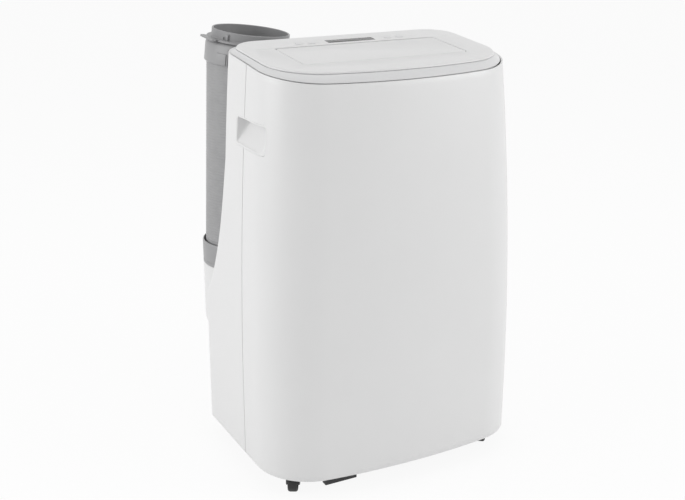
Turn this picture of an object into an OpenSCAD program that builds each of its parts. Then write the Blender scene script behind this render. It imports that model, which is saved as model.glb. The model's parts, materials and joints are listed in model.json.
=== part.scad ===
// Portable room air conditioner on swivel casters, with its window hose fitted.
// Millimetres, +Z up, front towards -Y, origin under the middle of the whole object on the floor.

/* [Casing] */
// Width of the casing at the skirt
body_w = 494; // [440:1:580]
// Depth of the casing from the front bow to the lower rear wall
body_d = 344; // [310:1:410]
// Height of the top deck's rear edge above the floor
top_z = 746; // [680:1:880]
// Gap between the skirt and the floor
skirt_z = 34; // [30:1:40]
// Fall of the top deck towards the front, in degrees
deck_slope = 5.1; // [2:0.1:8]
// Height at which the walls start to lean in
taper_z = 143; // [100:1:220]
// Lean of each side wall at the top
side_taper = 24; // [0:1:30]
// Lean of the front wall at the top
front_taper = 22; // [0:1:30]
// Radius of the front corners
front_r = 100; // [80:1:120]
// Bow of the front face
front_bow = 8.5; // [4:0.5:12]
// Radius of the rear corners low down
rear_r_low = 18; // [12:1:30]
// Radius of the rear corners near the top
rear_r_top = 60; // [40:1:64]
// Set-in of the upper rear wall, which leaves room for the hose
rear_step = 54; // [48:1:62]
// Wall of the casing mouldings
wall = 3; // [2:0.5:4]
// Seam between the front moulding and the rear moulding
seam_y = -66; // [-80:1:-50]

/* [Top] */
// Thickness of the deck
deck_t = 3.5; // [3:0.5:5]
// Set-in of the deck from the casing
deck_inset = 12; // [9:1:16]
// Height of the trim band at the sides
band_side = 9; // [7:1:12]
// Height of the trim band at the front
band_front = 18; // [14:1:22]
// Width of the air outlet
outlet_w = 308; // [240:1:320]
// Length of the air outlet along the deck
outlet_d = 118; // [100:1:124]
// Radius of the outlet's corners
outlet_r = 7; // [4:1:10]
// Distance from the deck's rear edge to the air outlet
outlet_back = 75; // [72:1:82]
// Width of the display window
display_w = 92; // [80:1:120]
// Length of the display window
display_d = 20; // [16:1:38]
// Radius of a control key
key_r = 7; // [5:0.5:8]
// Travel of a control key
key_travel = 0.6; // [0.4:0.1:0.7]
// Distance of the inner keys from the middle
key_x = 74; // [68:1:80]
// Pitch of the two keys on one side
key_pitch = 24; // [18:1:28]

/* [Hose] */
// Outside diameter of the hose
hose_d = 150; // [125:1:152]
// Wall space between the hose and its collars
collar_room = 2; // [1.9:0.1:3]
// Wall of the collars
collar_wall = 2.5; // [2:0.5:3]
// Height of the lower collar's seat
collar_z = 320; // [300:1:340]
// Height of the lower collar
collar_h = 44; // [36:1:50]
// Height of the adaptor's lower rim
adaptor_z = 691; // [640:1:700]
// Length of the adaptor's sleeve
adaptor_h = 39; // [34:1:44]
// Sideways lean of the hose, in degrees
hose_lean = 2.5; // [0:0.1:3]
// Set-in of the window spigot from the adaptor's outside
spigot_in = 9.5; // [8:0.5:14]
// Length of the window spigot
spigot_h = 15; // [8:1:20]
// Thickness of the window flange's rim
rim_t = 4; // [3:0.5:8]

/* [Casters] */
// Distance of a caster's stem from the middle plane
caster_x = 196; // [180:1:200]
// Front stems
caster_front_y = -160; // [-162:1:-140]
// Rear stems
caster_rear_y = 76; // [50:1:78]
// Radius of a wheel
wheel_r = 19; // [16:0.5:20]
// Width of a wheel
wheel_w = 17; // [12:1:20]
// Trail of the axle behind the stem
trail = 12; // [8:1:13]
// Radius of the stem
stem_r = 5; // [4:0.5:6]
// Radius of the axle
axle_r = 3; // [2:0.5:4]

/* [Hand grips] */
// Length of a grip recess
grip_l = 108; // [90:1:120]
// Height of a grip recess
grip_h = 50; // [40:1:60]
// Depth of a grip recess under its roof
grip_depth = 30; // [24:1:36]
// Depth of a grip recess at its sill
grip_sill = 4; // [2:1:8]
// Middle of a grip recess, front to back
grip_y = -88; // [-96:1:-80]
// Middle of a grip recess above the floor
grip_z = 615; // [560:1:640]

/* [Works] */
// Radius of the upper blower
up_fan_r = 100; // [84:1:104]
// Width of the upper blower
up_fan_w = 72; // [60:1:78]
// Radius of the lower blower
low_fan_r = 82; // [70:1:88]
// Width of the lower blower
low_fan_w = 46; // [40:1:52]
// Radius of the compressor
comp_r = 62; // [52:1:66]
// Height of the compressor
comp_h = 236; // [200:1:240]
// Swing radius of the louver pins
louver_arm = 21; // [18:1:24]
// Radius of the louver pivots
pivot_r = 2; // [1.5:0.1:2.5]
// Pitch of the louver blades
louver_pitch = 75; // [60:1:80]

/* [Hidden] */
$fn = 64;
eps = 0.5;
fit_gap = 0.3;            // between parts that are fixed to each other
run_gap = 0.05;           // radial, between a pin and its bore
pod_r = hose_d / 2 + collar_room + collar_wall;
spigot_r = pod_r - spigot_in;
mouth_x = pod_r - 27.5;    // half the width of the way into the hose's pod
hose_reach = 116;          // from the lower rear wall to the back of the hose collar
overall_d = body_d + hose_reach;
front_y = -overall_d / 2;
rear_low_y = front_y + body_d;
rear_top_y = rear_low_y - rear_step;
hose_x = -148;
hose_y = overall_d / 2 - pod_r;
pod_z = collar_z - 142;
pod_round = 34;
step_low_z = collar_z - 36;
step_top_z = collar_z + 234;
floor_z = 60;             // underside of the base pan's floor
floor_t = 4;
pan_top_z = floor_z + floor_t;
part_z = collar_z + 58;   // underside of the partition
part_t = 3;
part_top_z = part_z + part_t;
deck_cos = cos(deck_slope);
duct_wall = 2.5;
duct_x = outlet_w / 2 - 4;
duct_front_y = rear_top_y - (outlet_back + outlet_d) * deck_cos + 1;
duct_back_y = rear_top_y - outlet_back * deck_cos - 1;
fan_y = (duct_front_y + duct_back_y) / 2;
up_fan_x = 30;
up_fan_z = part_top_z + 139;
up_scroll_r = up_fan_r + 20;
low_fan_x = -95;
low_fan_y = -25;
low_fan_z = 205;
low_scroll_r = low_fan_r + 23;
low_scroll_d = low_fan_w + 24;
shaft_r = 4;
motor_l = 46;
louver_z = 680;
hinge_drop = 6;           // vane axis below the deck face
hinge_back = 7;           // vane axis in front of the outlet's rear edge
vane_gap = 1.5;
comp_x = 125;
comp_y = -30;
tank_x = 60;
tank_y = -95;
tank_r = 22;
up_win = [-45, 158, 490, 700];    // x low, x high, z low, z high
low_win = [-40, 195, 84, 280];
gland = [215, 150];
drain = [-8, 70];
barb_r = 9;
barb_wall = 3;
barb_flange = 2;
barb_end_y = rear_low_y + barb_flange + 12;
grip_wall = 2.5;

// ---- casing outline -------------------------------------------------------

bow_n = 4;
arc_n = 6;
rear_n = 4;
front_cols = bow_n + arc_n + 1;
rear_cols = rear_n + 2;
rows = 16;
low_rows = 6;              // of these, up to the foot of the step in the rear wall

function lean(z) = pow(max(0, z - taper_z) / (top_z - taper_z), 2);
function half_w(z) = body_w / 2 - side_taper * lean(z);
function front_at(z) = front_y + front_taper * lean(z);
function rear_mix(z) = min(1, max(0, (step_top_z - z) / (step_top_z - step_low_z)));
function rear_at(z) = rear_top_y + rear_step * pow(rear_mix(z), 3);
function rear_r(z) = rear_r_top + (rear_r_low - rear_r_top) * rear_mix(z);
function deck_at(y) = top_z + (y - rear_top_y) * tan(deck_slope);
function band_at(y) = band_side + (band_front - band_side) * pow(max(0, -y) / -front_y, 2);
function top_edge(y) = deck_at(y) - band_at(y);

// A point of the front half: 0 is the middle of the bow, front_cols is the seam
function front_pt(z, e, i) =
    let(c = half_w(z) - front_r, k = front_bow / (c * c), s = i < 0 ? -1 : 1, j = abs(i),
        a = atan(2 * k * c / (1 - 2 * k * front_r)), xj = c + front_r * sin(a),
        yc = front_at(z) + k * xj * xj + front_r * cos(a),
        x = xj * j / bow_n, b = atan(2 * k * x), t = a + (90 - a) * (j - bow_n) / arc_n)
    j <= bow_n ? [s * (x - e * sin(b)), front_at(z) + k * x * x + e * cos(b)] :
    j <= bow_n + arc_n ? [s * (c + (front_r - e) * sin(t)), yc - (front_r - e) * cos(t)] :
    [s * (half_w(z) - e), seam_y];

// A point of the rear half: 0 is the middle of the rear wall, rear_cols is the seam
function rear_pt(z, e, i) =
    let(r = rear_r(z), s = i < 0 ? -1 : 1, j = abs(i), t = 90 - 90 * (j - 1) / rear_n,
        q = max(r - e, 0.5))
    j == 0 ? [0, rear_at(z) - e] :
    j <= rear_n + 1 ? [s * (half_w(z) - r + q * cos(t)), rear_at(z) - r + q * sin(t)] :
    [s * (half_w(z) - e), seam_y];

function plan(z, e) = concat(
    [for (i = [0:front_cols]) front_pt(z, e, i)],
    [for (i = [rear_cols - 1:-1:-(rear_cols - 1)]) rear_pt(z, e, i)],
    [for (i = [-front_cols:-1]) front_pt(z, e, i)]);

// A thick sheet between two grids of points, rows upwards and columns anticlockwise
module sheet(outer, inner) {
    n = len(outer);
    m = len(outer[0]);
    o = n * m;
    pts = concat([for (r = outer) each r], [for (r = inner) each r]);
    faces = concat(
        [for (r = [0:n - 2], c = [0:m - 2]) let(a = r * m + c, b = a + m) [a, b, b + 1]],
        [for (r = [0:n - 2], c = [0:m - 2]) let(a = r * m + c, b = a + m) [a, b + 1, a + 1]],
        [for (r = [0:n - 2], c = [0:m - 2]) let(a = o + r * m + c, b = a + m) [a, b + 1, b]],
        [for (r = [0:n - 2], c = [0:m - 2]) let(a = o + r * m + c, b = a + m) [a, a + 1, b + 1]],
        [for (c = [0:m - 2]) let(a = (n - 1) * m + c) [a, o + a, o + a + 1]],
        [for (c = [0:m - 2]) let(a = (n - 1) * m + c) [a, o + a + 1, a + 1]],
        [for (c = [0:m - 2]) [c, o + c + 1, o + c]],
        [for (c = [0:m - 2]) [c, c + 1, o + c + 1]],
        [for (r = [0:n - 2]) let(a = r * m, b = a + m) [o + a, o + b, b]],
        [for (r = [0:n - 2]) let(a = r * m, b = a + m) [o + a, b, a]],
        [for (r = [0:n - 2]) let(a = r * m + m - 1, b = a + m) [a, b, o + b]],
        [for (r = [0:n - 2]) let(a = r * m + m - 1, b = a + m) [a, o + b, o + a]]);
    polyhedron(pts, faces, convexity = 8);
}

// A ring whose section is given by closed loops of points
module ring_band(loops) {
    n = len(loops);
    m = len(loops[0]);
    faces = concat(
        [for (k = [0:n - 1], c = [0:m - 1]) let(l = (k + 1) % n, d = (c + 1) % m)
            [k * m + c, l * m + c, l * m + d]],
        [for (k = [0:n - 1], c = [0:m - 1]) let(l = (k + 1) % n, d = (c + 1) % m)
            [k * m + c, l * m + d, k * m + d]]);
    polyhedron([for (p = loops) each p], faces, convexity = 8);
}

// A solid that follows the casing between two heights, set in by e
module core(z0, z1, e) {
    a = plan(z0, e);
    b = plan(z1, e);
    m = len(a);
    pts = concat([for (p = a) [p.x, p.y, z0]], [for (p = b) [p.x, p.y, z1]]);
    faces = concat(
        [[for (i = [0:m - 1]) i]], [[for (i = [m - 1:-1:0]) m + i]],
        [for (i = [0:m - 1]) let(j = (i + 1) % m) [i, m + i, m + j]],
        [for (i = [0:m - 1]) let(j = (i + 1) % m) [i, m + j, j]]);
    polyhedron(pts, faces, convexity = 4);
}

function climb(y, r) = r <= low_rows ? skirt_z + (step_low_z - skirt_z) * r / low_rows :
    step_low_z + (top_edge(y) - step_low_z) * (r - low_rows) / (rows - low_rows);
function front_row(r, e) = [for (i = [-front_cols:front_cols])
    let(z = climb(front_pt(top_z, 0, i).y, r), p = front_pt(z, e, i)) [p.x, p.y, z]];
function rear_row(r, e) = [for (i = [rear_cols:-1:-rear_cols])
    let(z = climb(rear_pt(top_z, 0, i).y, r), p = rear_pt(z, e, i))
    [p.x, abs(i) == rear_cols ? p.y + fit_gap : p.y, z]];

// ---- helpers --------------------------------------------------------------

module box(x, y, z) {
    translate([x[0], y[0], z[0]]) cube([x[1] - x[0], y[1] - y[0], z[1] - z[0]]);
}

module rod_x(r, x0, x1, y, z) {
    translate([x0, y, z]) rotate([0, 90, 0]) cylinder(r = r, h = x1 - x0);
}

module rod_y(r, y0, y1, x, z) {
    translate([x, y0, z]) rotate([-90, 0, 0]) cylinder(r = r, h = y1 - y0);
}

module rod_z(r, z0, z1, x, y) {
    translate([x, y, z0]) cylinder(r = r, h = z1 - z0);
}

module tube_z(r_out, r_in, z0, z1) {
    translate([0, 0, z0]) difference() {
        cylinder(r = r_out, h = z1 - z0);
        translate([0, 0, -eps]) cylinder(r = r_in, h = z1 - z0 + 2 * eps);
    }
}

module on_deck() {
    translate([0, rear_top_y, top_z]) rotate([deck_slope, 0, 0]) children();
}

module at_hose() {
    translate([hose_x, hose_y, 0]) children();
}

// ---- casing ---------------------------------------------------------------

module grip_hole(side) {
    reach = half_w(grip_z) + 20;
    box([side > 0 ? reach - 60 : -reach, side > 0 ? reach : 60 - reach],
        [grip_y - grip_l / 2, grip_y + grip_l / 2], [grip_z - grip_h / 2, grip_z + grip_h / 2]);
}

module front_panel() {
    color("white") difference() {
        sheet([for (r = [0:rows]) front_row(r, 0)], [for (r = [0:rows]) front_row(r, wall)]);
        grip_hole(1);
        grip_hole(-1);
    }
}

module rear_housing() {
    color("white") difference() {
        sheet([for (r = [0:rows]) rear_row(r, 0)], [for (r = [0:rows]) rear_row(r, wall)]);
        grip_hole(1);
        grip_hole(-1);
        box([up_win[0], up_win[1]], [rear_top_y - 12, rear_top_y + 12], [up_win[2], up_win[3]]);
        box([low_win[0], low_win[1]], [rear_low_y - 12, rear_low_y + 12], [low_win[2], low_win[3]]);
        at_hose() translate([0, 0, pod_z]) rotate_extrude()
            pod_section(pod_r + fit_gap, pod_round, collar_z - pod_z);
        at_hose() rod_z(pod_r + wall + fit_gap, collar_z - wall - fit_gap, step_top_z, 0, 0);
        rod_y(7 + fit_gap, rear_low_y - 12, rear_low_y + 12, gland[0], gland[1]);
        rod_y(barb_r + fit_gap, rear_low_y - 12, rear_low_y + 12, drain[0], drain[1]);
    }
}

// Everything behind the rear wall's outer face, for a piece that ends flush with it
module behind_wall(z0, z1) {
    steps = 14;
    translate([-300, 0, 0]) rotate([90, 0, 90]) linear_extrude(600)
        polygon(concat([for (i = [0:steps]) let(z = z0 + (z1 - z0) * i / steps) [rear_at(z), z]],
            [[rear_low_y + 200, z1], [rear_low_y + 200, z0]]));
}

// Half section of the pod: a cylinder with its lower edge rounded
module pod_section(r, round_r, deep) {
    square([r - round_r, deep]);
    translate([0, round_r]) square([r, deep - round_r]);
    translate([r - round_r, round_r]) intersection() {
        circle(r = round_r);
        translate([0, -round_r]) square(round_r);
    }
}

module exhaust_shroud() {
    round_r = pod_round;
    seat_r = pod_r - 10;
    deep = collar_z - pod_z;
    color("white") {
        at_hose() difference() {
            translate([0, 0, pod_z]) rotate_extrude() difference() {
                pod_section(pod_r, round_r, deep);
                translate([0, wall]) square([pod_r - round_r, deep - 2 * wall]);
                translate([0, round_r]) square([pod_r - wall, deep - round_r - wall]);
                translate([pod_r - round_r, round_r]) intersection() {
                    circle(r = round_r - wall);
                    translate([0, -round_r]) square(round_r);
                }
                translate([0, deep - 2 * wall]) square([seat_r, 4 * wall]);
            }
            box([-mouth_x, mouth_x], [-pod_r - 1, 29.5 - pod_r], [pod_z + 24, collar_z - 24]);
        }
        difference() {
            at_hose() {
                tube_z(pod_r + wall, pod_r + fit_gap, collar_z - wall, step_top_z);
                tube_z(pod_r + wall, pod_r - wall / 2, collar_z - wall, collar_z);
            }
            behind_wall(collar_z - 2 * wall, step_top_z + 1);
        }
    }
}

module trim_ring() {
    low_e = 1;
    tuck = 8;
    band_t = 3;
    loop_in = wall + fit_gap;
    function low_z(p) = top_edge(p.y);
    function loop(e, dz, deck) = [for (p = plan(top_z, e)) [p.x, p.y,
        deck ? deck_at(p.y) - deck_t - fit_gap + dz : low_z(p) + dz]];
    color("silver") ring_band([
        loop(loop_in, -tuck, false),
        loop(loop_in, fit_gap, false),
        loop(low_e, fit_gap, false),
        loop(deck_inset - 1, 0, true),
        loop(deck_inset + 7, 0, true),
        loop(deck_inset + 7, -2, true),
        loop(loop_in + band_t, -2, false),
        loop(loop_in + band_t, -tuck, false)]);
}

function deck_plan(e) = [for (p = plan(top_z, deck_inset + e)) [p.x, (p.y - rear_top_y) / deck_cos]];

module rounded_rect(x0, x1, y0, y1, r) {
    translate([x0 + r, y0]) square([x1 - x0 - 2 * r, y1 - y0]);
    translate([x0, y0 + r]) square([x1 - x0, y1 - y0 - 2 * r]);
    for (x = [x0 + r, x1 - r], y = [y0 + r, y1 - r]) translate([x, y]) circle(r = r);
}

display_y = -outlet_back + 10 + display_d / 2;
keys = [-key_x - key_pitch, -key_x, key_x, key_x + key_pitch];
ear_x = outlet_w / 2;
ear_t = 8;
hinge_y = -outlet_back - hinge_back;

module top_deck() {
    color("white") on_deck() {
        difference() {
            translate([0, 0, -deck_t]) linear_extrude(deck_t) difference() {
                polygon(deck_plan(0));
                rounded_rect(-outlet_w / 2, outlet_w / 2, -outlet_back - outlet_d,
                    -outlet_back, outlet_r);
            }
            translate([-display_w / 2, display_y - display_d / 2, -2])
                cube([display_w, display_d, 2 + eps]);
            for (x = keys) rod_z(key_r + fit_gap, -deck_t - eps, eps, x, display_y);
        }
        for (s = [-1, 1]) difference() {
            translate([s > 0 ? ear_x : -ear_x - ear_t, hinge_y - 6, -14])
                cube([ear_t, 12, 14 - deck_t + 0.1]);
            rod_x(pivot_r + run_gap, -ear_x - 2 * ear_t, ear_x + 2 * ear_t, hinge_y, -hinge_drop);
        }
    }
}

module display_window() {
    color([0.05, 0.05, 0.06]) on_deck()
        translate([-display_w / 2 + fit_gap, display_y - display_d / 2 + fit_gap, -2])
            cube([display_w - 2 * fit_gap, display_d - 2 * fit_gap, 2]);
}

module display_board() {
    board_w = 2 * (key_x + key_pitch + key_r + 6);
    color("darkgreen") on_deck()
        translate([-board_w / 2, display_y - 17, -deck_t - fit_gap - 1.6])
            cube([board_w, 34, 1.6]);
}

module key(i) {
    color("lightgrey") on_deck() rod_z(key_r, -deck_t - fit_gap + key_travel + 0.2, 0.8,
        keys[i], display_y);
}

// A wedge along Y, deep under the grip's roof and shallow at its sill
module grip_wedge(side, depth, sill, inset) {
    x = half_w(grip_z);
    z0 = grip_z - grip_h / 2 + inset;
    z1 = grip_z + grip_h / 2 - inset;
    mirror([side > 0 ? 0 : 1, 0, 0]) translate([0, grip_y + grip_l / 2 - inset, 0])
        rotate([90, 0, 0]) linear_extrude(grip_l - 2 * inset)
            polygon([[x - sill, z0], [x + 20, z0], [x + 20, z1], [x - depth, z1]]);
}

module handle(side) {
    color("white") difference() {
        intersection() {
            core(grip_z - grip_h, grip_z + grip_h, 0.2);
            grip_wedge(side, grip_depth + grip_wall, grip_sill + grip_wall, fit_gap);
        }
        grip_wedge(side, grip_depth, grip_sill, grip_wall);
    }
}

module handle_left() {
    handle(-1);
}

module handle_right() {
    handle(1);
}

// ---- rear grilles and filters ---------------------------------------------

module grille(win, y) {
    rim = 10;
    pitch = 12;
    slots = floor((win[3] - win[2] - 2 * rim) / pitch);
    first = (win[2] + win[3] - slots * pitch) / 2;
    difference() {
        box([win[0] + fit_gap, win[1] - fit_gap], [y - wall, y + 1],
            [win[2] + fit_gap, win[3] - fit_gap]);
        for (i = [0:slots - 1])
            box([win[0] + rim, win[1] - rim], [y - wall - 1, y + 2],
                [first + i * pitch + 2, first + (i + 1) * pitch - 2]);
    }
}

module filter(win, y) {
    inset = 7;
    depth = 4.5;
    rim = 8;
    ribs = 4;
    x0 = win[0] + inset;
    x1 = win[1] - inset;
    z0 = win[2] + inset;
    z1 = win[3] - inset;
    y1 = y - wall - fit_gap;
    step = (x1 - x0 - rim) / ribs;
    difference() {
        box([x0, x1], [y1 - depth, y1], [z0, z1]);
        for (i = [0:ribs - 1])
            box([x0 + i * step + rim, x0 + (i + 1) * step], [y1 - depth - 1, y1 - depth / 2 - 0.4],
                [z0 + rim, z1 - rim]);
        for (i = [0:ribs - 1])
            box([x0 + i * step + rim, x0 + (i + 1) * step], [y1 - depth / 2 + 0.4, y1 + 1],
                [z0 + rim, z1 - rim]);
    }
}

module upper_grille() {
    color("white") grille(up_win, rear_top_y);
}

module upper_filter() {
    color("dimgray") filter(up_win, rear_top_y);
}

module lower_grille() {
    color("white") grille(low_win, rear_low_y);
}

module lower_filter() {
    color("dimgray") filter(low_win, rear_low_y);
}

// ---- base and casters -----------------------------------------------------

stems = [[-caster_x, caster_front_y, -30], [caster_x, caster_front_y, -40],
    [-caster_x, caster_rear_y, 200], [caster_x, caster_rear_y, 160]];
fork_top_z = 2 * wheel_r + 6;
stem_top_z = fork_top_z + 24;

module base_pan() {
    rim_top = 84;
    rim_e = wall + fit_gap;
    color([0.1, 0.1, 0.1]) difference() {
        union() {
            translate([0, 0, floor_z]) linear_extrude(floor_t) polygon(plan(floor_z, rim_e));
            translate([0, 0, skirt_z + 4]) linear_extrude(rim_top - skirt_z - 4) difference() {
                polygon(plan(floor_z, rim_e));
                polygon(plan(floor_z, rim_e + wall));
            }
            for (s = stems) rod_z(stem_r + 6, fork_top_z + fit_gap, stem_top_z + 4, s.x, s.y);
            box([-160, -100], [front_at(0) + front_bow + wall + 6, front_at(0) + front_bow + wall + 18],
                [20, floor_z + 1]);
        }
        for (s = stems) rod_z(stem_r + run_gap, fork_top_z - 1, stem_top_z + 1, s.x, s.y);
        rod_y(barb_r + fit_gap, rear_low_y - 12, rear_low_y + 12, drain[0], drain[1]);
    }
}

module at_stem(i) {
    translate([stems[i].x, stems[i].y, 0]) rotate([0, 0, stems[i].z]) children();
}

module caster_fork(i) {
    cheek_t = 3;
    cheek_x = wheel_w / 2 + 0.5;
    color([0.35, 0.35, 0.36]) at_stem(i) {
        rod_z(stem_r, fork_top_z - 1, stem_top_z, 0, 0);
        rod_z(15, fork_top_z - 4, fork_top_z, 0, 0);
        for (x = [-cheek_x - cheek_t, cheek_x]) translate([x, 0, 0])
            rotate([90, 0, 90]) linear_extrude(cheek_t) {
                polygon([[8, fork_top_z - 2], [-12, fork_top_z - 2], [-trail - 7, wheel_r],
                    [-trail + 7, wheel_r]]);
                translate([-trail, wheel_r]) circle(r = 7);
            }
        rod_x(axle_r, -cheek_x - cheek_t, cheek_x + cheek_t, -trail, wheel_r);
    }
}

module caster_wheel(i) {
    color([0.08, 0.08, 0.08]) at_stem(i) translate([-wheel_w / 2, -trail, wheel_r])
        rotate([0, 90, 0]) rotate_extrude() {
            translate([axle_r + run_gap, 0]) square([3.5, wheel_w]);
            translate([axle_r + 3, 4]) square([wheel_r - axle_r - 7, wheel_w - 8]);
            translate([wheel_r - 6, 1.5]) square([6, wheel_w - 3]);
            translate([wheel_r - 6, 0]) square([4.5, wheel_w]);
        }
}

// ---- cold air side --------------------------------------------------------

module coil(x0, x1, y0, y1, z0, z1) {
    bends = 6;
    step = (z1 - z0) / bends;
    box([x0, x1], [y0 + 1, y1 - 1], [z0 + 1, z1 - 1]);
    for (x = [x0, x1 - 2]) box([x, x + 2], [y0, y1], [z0, z1]);
    for (i = [0:bends - 1], x = [x0 - 9, x1 - 1])
        rod_x(4, x, x + 10, (y0 + y1) / 2, z0 + (i + 0.5) * step);
}

evap_y = rear_top_y - 40;
cond_y = rear_low_y - 36;

module evaporator_coil() {
    color("silver") coil(-60, 176, evap_y, evap_y + 28, part_top_z, up_win[3]);
}

module condenser_coil() {
    color("silver") coil(low_win[0] + 4, caster_x - 27, cond_y, cond_y + 24, pan_top_z, 284);
}

module partition() {
    color("lightgrey") translate([0, 0, part_z]) linear_extrude(part_t) difference() {
        intersection() {
            polygon(plan(part_z + part_t, wall + fit_gap));
            translate([-300, -300]) square([600, 300 + rear_top_y - wall]);
        }
        translate([tank_x, tank_y]) circle(r = 7);
    }
}

module upper_scroll() {
    y0 = fan_y - up_fan_w / 2 - 14;
    y1 = fan_y + up_fan_w / 2 + 10;
    duct_low = up_fan_z + 40;
    color("whitesmoke") difference() {
        union() {
            rod_y(up_scroll_r, y0, y1, up_fan_x, up_fan_z);
            box([-duct_x - duct_wall, duct_x + duct_wall],
                [duct_front_y - duct_wall, duct_back_y + duct_wall], [up_fan_z + 96, top_z]);
            for (x = [-62, 62]) box([up_fan_x + x - 8, up_fan_x + x + 8], [y0, y1],
                [part_top_z + fit_gap, up_fan_z - 80]);
            box([up_fan_x - 98, up_fan_x + 98], [y0, y1], [duct_low, up_fan_z + 100]);
        }
        rod_y(up_scroll_r - duct_wall, y0 + duct_wall, y1 - duct_wall, up_fan_x, up_fan_z);
        box([-duct_x, duct_x], [duct_front_y, duct_back_y], [up_fan_z + 96 + duct_wall, top_z + 9]);
        box([up_fan_x - 95, up_fan_x + 95], [y0 + duct_wall, y1 - duct_wall],
            [duct_low, up_fan_z + 110]);
        rod_y(up_fan_r - 18, fan_y, y1 + 1, up_fan_x, up_fan_z);
        rod_y(shaft_r + 6, y0 - 1, fan_y, up_fan_x, up_fan_z);
        on_deck() translate([-300, -300, -16]) cube([600, 400, 60]);
        for (i = [-1:1]) rod_y(pivot_r + run_gap, duct_front_y - 9, duct_back_y + 9,
            i * louver_pitch, louver_z);
    }
}

module blower(r, w, blades, shaft_l) {
    // Axis along Z, back disc at the bottom, shaft below it
    hub_r = 16;
    cylinder(r = r, h = 2);
    cylinder(r = hub_r, h = w * 0.45);
    translate([0, 0, -shaft_l]) cylinder(r = shaft_r, h = shaft_l + 1);
    tube_z(r, r - 12, w - 3, w);
    for (i = [0:blades - 1]) rotate([0, 0, i * 360 / blades])
        translate([r - 10, 0, 1]) rotate([0, 0, 28]) translate([-4, -0.8, 0]) cube([11, 1.6, w - 2]);
}

module upper_blower() {
    color("dimgray") translate([up_fan_x, fan_y - up_fan_w / 2, up_fan_z]) rotate([-90, 0, 0])
        blower(up_fan_r, up_fan_w, 18, 14 + fit_gap + motor_l - 8);
}

module motor(y, x, z, r) {
    // The shaft end faces +Y at y
    difference() {
        union() {
            rod_y(r, y - motor_l, y - 3, x, z);
            rod_y(r * 0.45, y - motor_l - 6, y, x, z);
            for (a = [45:90:315])
                rod_y(4, y - 10, y, x + (r + 3) * cos(a), z + (r + 3) * sin(a));
            rod_y(r + 6, y - 12, y - 8, x, z);
        }
        rod_y(shaft_r + run_gap, y - motor_l + 6, y + 1, x, z);
    }
}

module upper_motor() {
    color("gray") motor(fan_y - up_fan_w / 2 - 14 - fit_gap, up_fan_x, up_fan_z, 44);
}

module control_box() {
    color("lightgrey") difference() {
        box([158, 206], [-150, -40], [part_top_z + fit_gap, part_top_z + 120]);
        box([161, 203], [-147, -43], [part_top_z + 4, part_top_z + 117]);
    }
}

module heat_sink() {
    z0 = part_top_z + 120 + fit_gap;
    color("silver") {
        box([162, 202], [-130, -60], [z0, z0 + 4]);
        for (i = [0:6]) box([162 + i * 6.3, 164 + i * 6.3], [-130, -60], [z0 + 3, z0 + 24]);
    }
}

// ---- louvers and vane -----------------------------------------------------

link_y = fan_y;
link_t = 4;

module louver(i) {
    x = (i - 2) * louver_pitch;
    color("whitesmoke") {
        difference() {
            box([x - 1, x + 1], [duct_front_y + 1, duct_back_y - 1],
                [louver_z - louver_arm - 4, louver_z + 22]);
            box([x - 2, x + 2], [link_y - link_t, link_y + link_t],
                [louver_z - louver_arm - 5, louver_z - 7]);
        }
        rod_y(pivot_r, duct_front_y - 2, duct_front_y + 5, x, louver_z);
        rod_y(pivot_r, duct_back_y - 5, duct_back_y + 2, x, louver_z);
        rod_y(pivot_r, link_y - link_t - 1, link_y + link_t + 1, x, louver_z - louver_arm);
    }
}

module louver_link() {
    slot_w = 2 * pivot_r + 1.4;
    pin_z = louver_z - louver_arm;
    rise = louver_arm * (1 - cos(30));
    color("gray") difference() {
        box([-louver_pitch - 8, louver_pitch + 8], [link_y - link_t / 2, link_y + link_t / 2],
            [pin_z - pivot_r - 3.4, pin_z + rise + pivot_r + 3.4]);
        for (i = [-1:1]) box([i * louver_pitch - slot_w / 2, i * louver_pitch + slot_w / 2],
            [link_y - link_t, link_y + link_t],
            [pin_z - pivot_r - 0.4, pin_z + rise + pivot_r + 0.4]);
    }
}

module vane() {
    x = outlet_w / 2 - vane_gap;
    color("white") on_deck() {
        translate([0, 0, -deck_t]) linear_extrude(deck_t)
            rounded_rect(-x, x, -outlet_back - outlet_d + vane_gap, hinge_y + 2.5, outlet_r);
        for (s = [-1, 1]) {
            rod_x(4, s > 0 ? x - 14 : -x, s > 0 ? x : 14 - x, hinge_y, -hinge_drop);
            rod_x(pivot_r, s > 0 ? x - 6 : -ear_x - 5, s > 0 ? ear_x + 5 : 6 - x,
                hinge_y, -hinge_drop);
        }
        for (u = [0.35, 0.65, 0.9]) translate([-x + 20, -outlet_back - outlet_d * u, -deck_t - 2])
            cube([2 * x - 40, 2, 3]);
    }
}

module vane_motor() {
    color("silver") on_deck()
        rod_x(9, -ear_x - ear_t - fit_gap - 16, -ear_x - ear_t - fit_gap, hinge_y, -deck_t - 10);
}

// ---- hot air side ---------------------------------------------------------

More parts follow.
